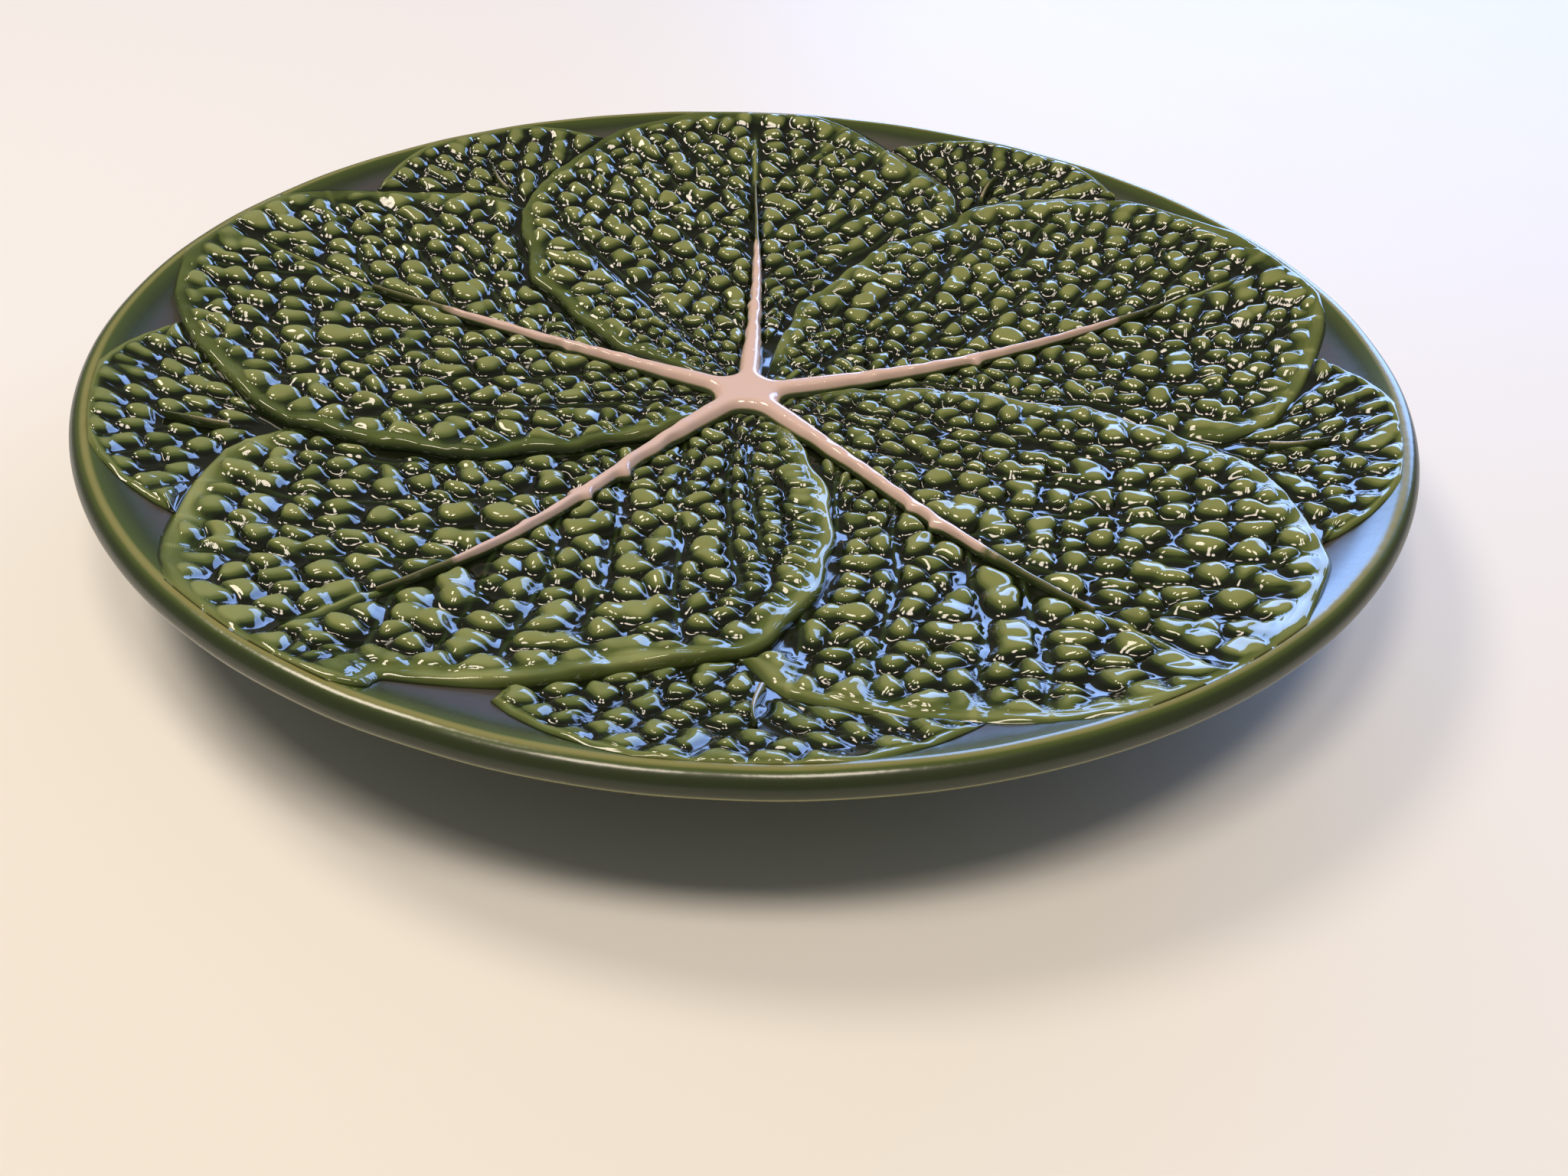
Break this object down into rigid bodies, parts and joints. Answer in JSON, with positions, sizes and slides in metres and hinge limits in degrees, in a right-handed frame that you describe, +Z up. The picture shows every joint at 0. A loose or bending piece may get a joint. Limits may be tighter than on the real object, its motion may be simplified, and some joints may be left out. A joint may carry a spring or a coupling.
{
  "type": "leaf relief plate",
  "caption": "Round glazed earthenware plate, a shallow coupe dish on a turned foot, moulded inside with overlapping veined leaves around a star of pale midribs.",
  "frame": {"origin": "middle of the foot's face, on the table, under the plate's axis", "axes": "+Z up out of the dish, +X to the right and +Y away from the viewer, as in the picture"},
  "size_m": [0.265, 0.265, 0.0304],
  "materials": {
    "dish_glaze": "glossy deep green glaze over earthenware, thin and tan at the rim's lower edge",
    "leaf_glaze": "glossy green glaze, lighter on the crests and dark where it pools",
    "cream_glaze": "glossy cream glaze",
    "bare_clay": "matt unglazed earthenware"
  },
  "bodies": {
    "root": {"dish_body": "dish_glaze", "foot_ring": "bare_clay", "rib_hub": "cream_glaze", "leaf_right": "leaf_glaze", "leaf_back": "leaf_glaze", "leaf_left": "leaf_glaze", "leaf_front_left": "leaf_glaze", "leaf_front_right": "leaf_glaze", "under_leaf_back_right": "leaf_glaze", "under_leaf_back_left": "leaf_glaze", "under_leaf_left": "leaf_glaze", "under_leaf_front": "leaf_glaze", "under_leaf_right": "leaf_glaze", "midrib_right": "cream_glaze", "midrib_back": "cream_glaze", "midrib_left": "cream_glaze", "midrib_front_left": "cream_glaze", "midrib_front_right": "cream_glaze", "under_rib_back_right": "cream_glaze", "under_rib_back_left": "cream_glaze", "under_rib_left": "cream_glaze", "under_rib_front": "cream_glaze", "under_rib_right": "cream_glaze"}
  },
  "joints": []
}
